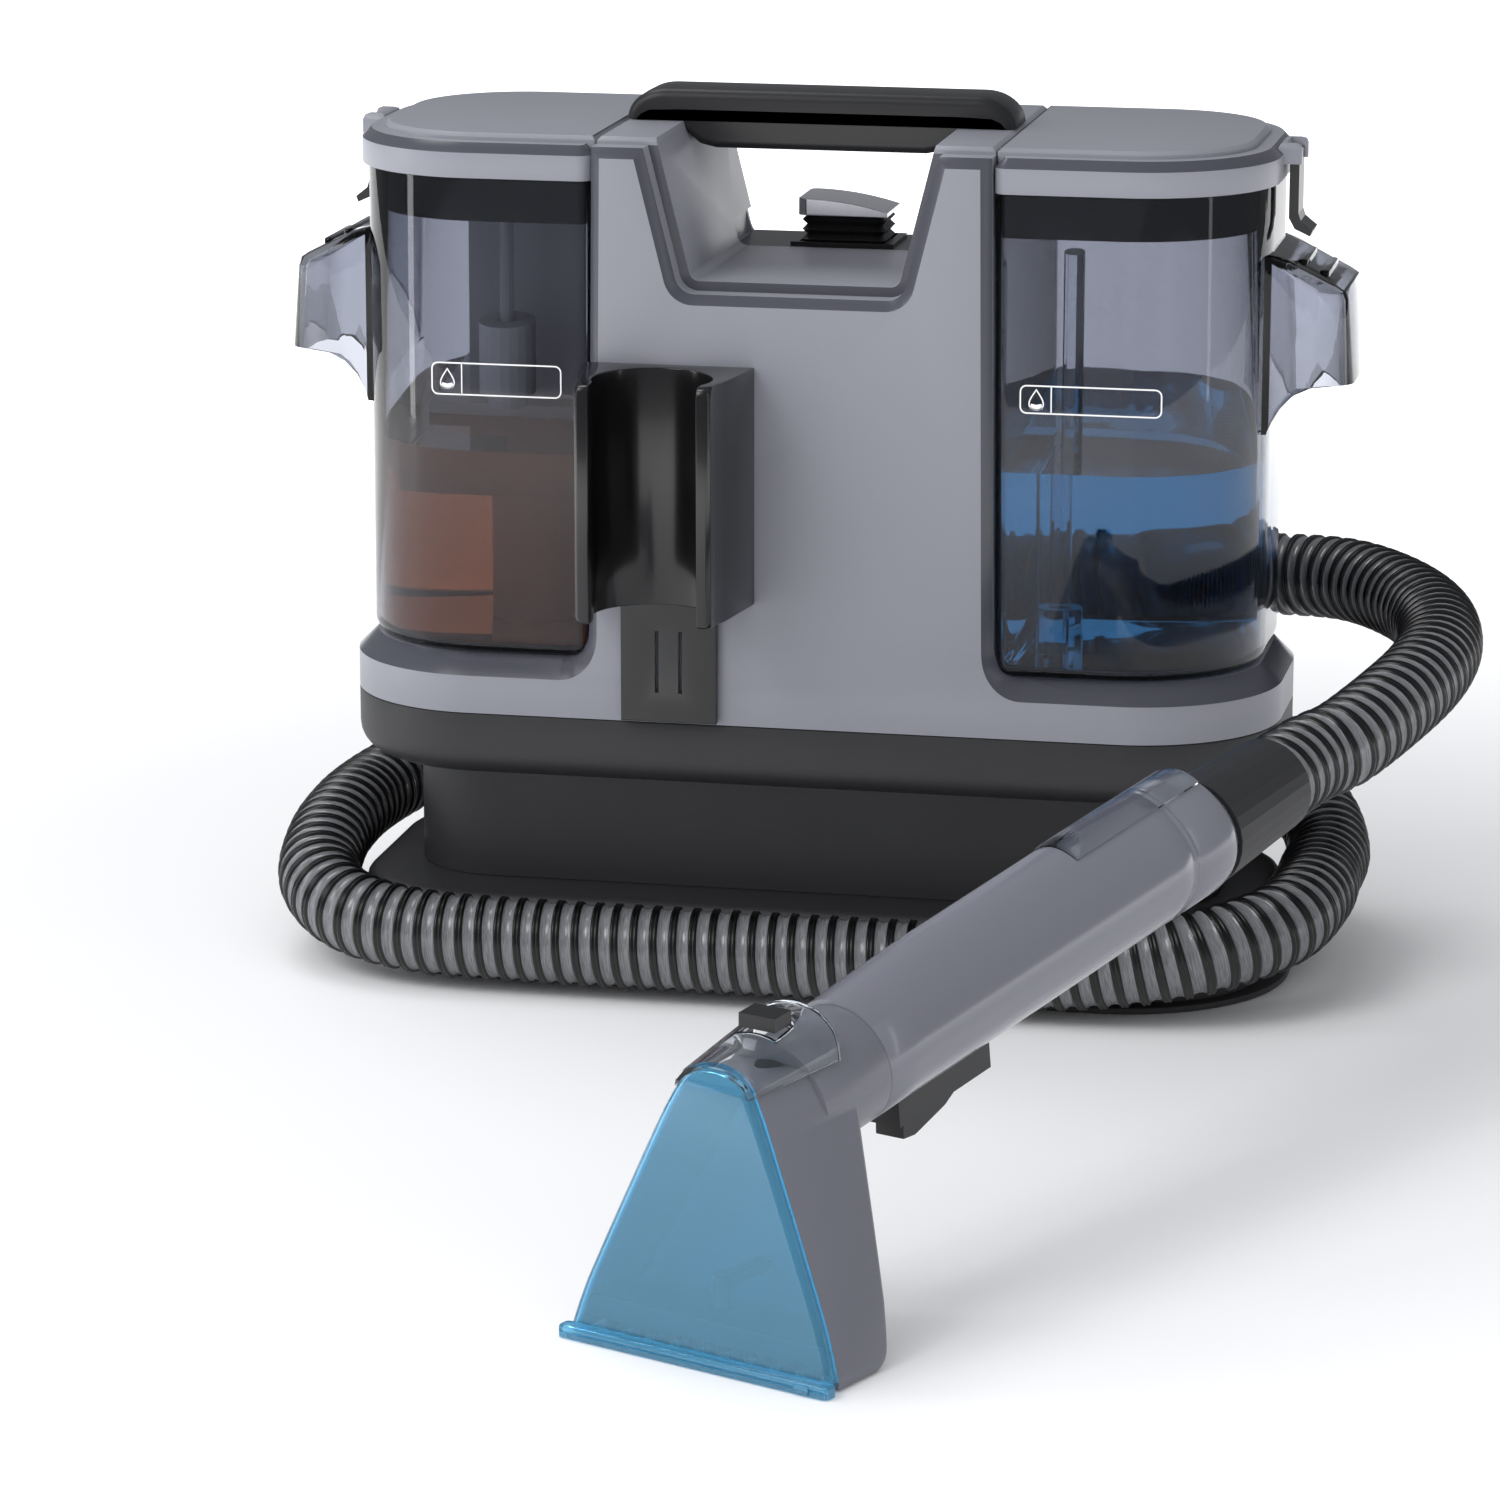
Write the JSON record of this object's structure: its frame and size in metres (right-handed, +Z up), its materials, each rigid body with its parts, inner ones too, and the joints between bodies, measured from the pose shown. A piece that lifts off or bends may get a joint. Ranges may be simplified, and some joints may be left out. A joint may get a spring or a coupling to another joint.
{
  "type": "portable carpet cleaner",
  "caption": "Portable carpet and upholstery cleaner with a carry handle, side water tanks, a wrap-round hose, a wand with trigger and a spotting nozzle.",
  "frame": {"origin": "centre of the machine's flat underside, on the floor", "axes": "+Z up, -Y to the machine's front where the wand holder is, +X towards the clean water tank"},
  "size_m": [0.5175, 0.7004, 0.3715],
  "materials": {
    "grey_plastic": "satin cool grey moulded plastic",
    "black_plastic": "satin black moulded plastic",
    "clear_plastic": "smoky clear moulded plastic",
    "rubber": "matt black rubber",
    "silver": "silver painted plastic",
    "steel": "bare steel",
    "float_plastic": "pale foam float",
    "hose_plastic": "clear ribbed hose with a black spiral"
  },
  "bodies": {
    "machine": {"bottom_plate": "black_plastic", "base_flange": "black_plastic", "plinth": "black_plastic", "skirt_pan": "black_plastic", "main_housing": "grey_plastic", "rear_cover": "grey_plastic", "handle_lower": "black_plastic", "handle_upper": "black_plastic", "switch_plate": "black_plastic", "switch_bellows": "rubber", "holder_rail": "black_plastic", "air_duct": "black_plastic", "fan_volute": "black_plastic", "motor": "steel", "water_pump": "black_plastic", "hose_port": "black_plastic", "hose_clip": "black_plastic", "cord_bracket": "black_plastic", "power_inlet": "black_plastic", "foot_pad_1": "rubber", "foot_pad_2": "rubber", "foot_pad_3": "rubber", "foot_pad_4": "rubber", "hose": "hose_plastic"},
    "switch": {"switch_cap": "silver"},
    "fan": {"fan_impeller": "steel"},
    "holder": {"wand_holder": "black_plastic"},
    "hook_lower": {"cord_hook_lower": "black_plastic"},
    "hook_upper": {"cord_hook_upper": "black_plastic"},
    "clean_water_tank": {"clean_tank": "clear_plastic", "clean_pickup": "black_plastic"},
    "clean_cap": {"clean_lid": "grey_plastic", "clean_seal": "rubber"},
    "clean_catch": {"clean_latch": "black_plastic"},
    "dirty_water_tank": {"dirty_tank": "clear_plastic", "dirty_standpipe": "black_plastic"},
    "dirty_cap": {"dirty_lid": "grey_plastic", "dirty_seal": "rubber", "float_rod": "black_plastic"},
    "dirty_catch": {"dirty_latch": "black_plastic"},
    "float": {"dirty_float": "float_plastic"},
    "wand": {"wand_tube": "grey_plastic", "wand_channel": "clear_plastic", "trigger_housing": "black_plastic", "wand_cuff": "black_plastic"},
    "trigger": {"trigger": "black_plastic"},
    "nozzle": {"nozzle_shell": "grey_plastic", "nozzle_cover": "clear_plastic", "nozzle_roof": "clear_plastic", "nozzle_brush": "black_plastic", "spray_tip": "black_plastic"},
    "nozzle_release": {"nozzle_button": "black_plastic"}
  },
  "joints": [
    {"name": "switch_press", "type": "slide", "parent": "machine", "child": "switch", "axis": [0, 0, -1], "range_m": [0, 0.004], "stiffness_N_per_m": 500, "springref_m": -0.002, "deforming": ["switch_bellows"]},
    {"name": "fan_spin", "type": "hinge", "parent": "machine", "child": "fan", "pos_m": [0, 0, 0.17], "axis": [0, 0, 1], "continuous": true},
    {"name": "holder_lift", "type": "slide", "parent": "machine", "child": "holder", "axis": [0, 0, 1], "range_m": [0, 0.14]},
    {"name": "hook_lower_turn", "type": "hinge", "parent": "machine", "child": "hook_lower", "pos_m": [-0.035, 0.11, 0.203], "axis": [0, 1, 0], "range_deg": [0, 180]},
    {"name": "hook_upper_turn", "type": "hinge", "parent": "machine", "child": "hook_upper", "pos_m": [-0.035, 0.11, 0.265], "axis": [0, 1, 0], "range_deg": [0, 180]},
    {"name": "clean_tank_lift", "type": "slide", "parent": "machine", "child": "clean_water_tank", "axis": [0, 0, 1], "range_m": [0, 0.26]},
    {"name": "clean_lid_lift", "type": "slide", "parent": "clean_water_tank", "child": "clean_cap", "axis": [0, 0, 1], "range_m": [0, 0.06]},
    {"name": "clean_latch_turn", "type": "hinge", "parent": "clean_cap", "child": "clean_catch", "pos_m": [0.1992, 0, 0.35], "axis": [0, -1, 0], "range_deg": [0, 70]},
    {"name": "dirty_tank_lift", "type": "slide", "parent": "machine", "child": "dirty_water_tank", "axis": [0, 0, 1], "range_m": [0, 0.26]},
    {"name": "dirty_lid_lift", "type": "slide", "parent": "dirty_water_tank", "child": "dirty_cap", "axis": [0, 0, 1], "range_m": [0, 0.06]},
    {"name": "dirty_latch_turn", "type": "hinge", "parent": "dirty_cap", "child": "dirty_catch", "pos_m": [-0.1992, 0, 0.35], "axis": [0, 1, 0], "range_deg": [0, 70]},
    {"name": "float_rise", "type": "slide", "parent": "dirty_cap", "child": "float", "axis": [0, 0, 1], "range_m": [0, 0.07]},
    {"name": "wand_lift", "type": "slide", "parent": "machine", "child": "wand", "axis": [0, 0, 1], "range_m": [0, 0.4]},
    {"name": "trigger_squeeze", "type": "hinge", "parent": "wand", "child": "trigger", "pos_m": [0.12335, -0.40049, 0.06768], "axis": [-0.9184, 0.3955, 0], "range_deg": [0, 8], "stiffness_Nm_per_rad": 0.4, "springref_deg": -5.73},
    {"name": "nozzle_slide", "type": "slide", "parent": "wand", "child": "nozzle", "axis": [-0.3921, -0.9104, -0.1323], "range_m": [0, 0.08]},
    {"name": "button_press", "type": "slide", "parent": "nozzle", "child": "nozzle_release", "axis": [0, 0, -1], "range_m": [0, 0.0015], "stiffness_N_per_m": 500, "springref_m": -0.002}
  ]
}
